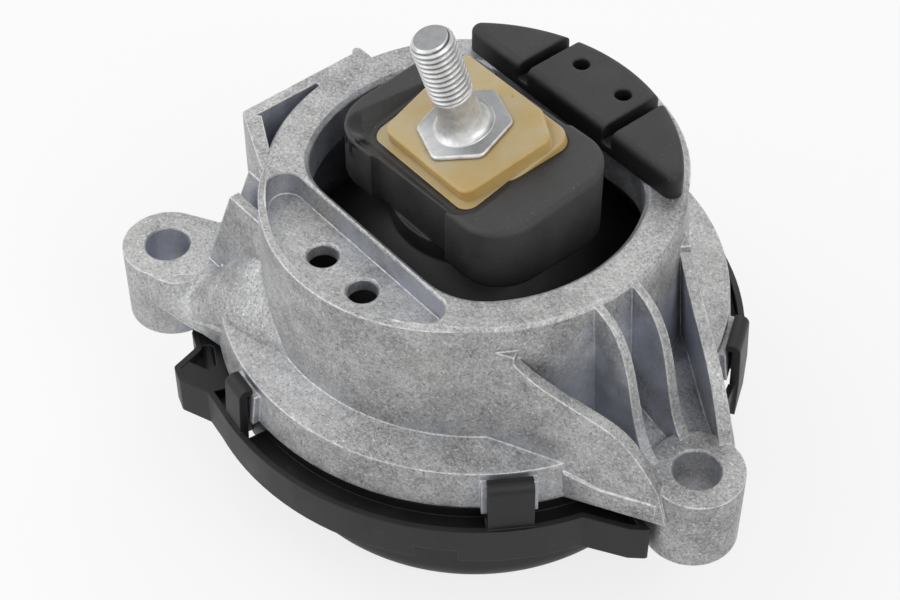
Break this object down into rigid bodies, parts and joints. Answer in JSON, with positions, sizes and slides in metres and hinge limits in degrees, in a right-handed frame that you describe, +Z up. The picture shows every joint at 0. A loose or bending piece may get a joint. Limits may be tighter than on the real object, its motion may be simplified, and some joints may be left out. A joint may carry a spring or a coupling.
{
  "type": "engine mount",
  "caption": "Fluid-damped engine mount: cast alloy housing with ears, rubber spring on a tilted stud, stop collar, rim buffer, clipped plastic ring and cup.",
  "frame": {"origin": "centre of the flat foot of the cup, on the axis of the housing", "axes": "+Z up along the housing axis, +X towards the single ear, the rim buffer on +Y"},
  "size_m": [0.1852, 0.1598, 0.1536],
  "materials": {
    "cast_alloy": "as cast, dull",
    "collar_plastic": "translucent straw, satin",
    "zinc_steel": "zinc plated, matt",
    "core_alloy": "as cast, dull",
    "spring_rubber": "matt black",
    "ring_steel": "bare steel",
    "plate_plastic": "moulded, matt",
    "membrane_rubber": "matt black",
    "cup_plastic": "moulded, satin black",
    "clip_plastic": "moulded, satin black",
    "buffer_rubber": "matt dark grey"
  },
  "bodies": {
    "root": {"housing": "cast_alloy", "stop_collar": "collar_plastic", "stud": "zinc_steel", "inner_core": "core_alloy", "rubber_spring": "spring_rubber", "insert_ring": "ring_steel", "upper_channel_plate": "plate_plastic", "lower_channel_plate": "plate_plastic", "membrane": "membrane_rubber", "diaphragm": "membrane_rubber", "cup": "cup_plastic", "retaining_ring": "clip_plastic", "stop_buffer": "buffer_rubber"}
  },
  "joints": []
}
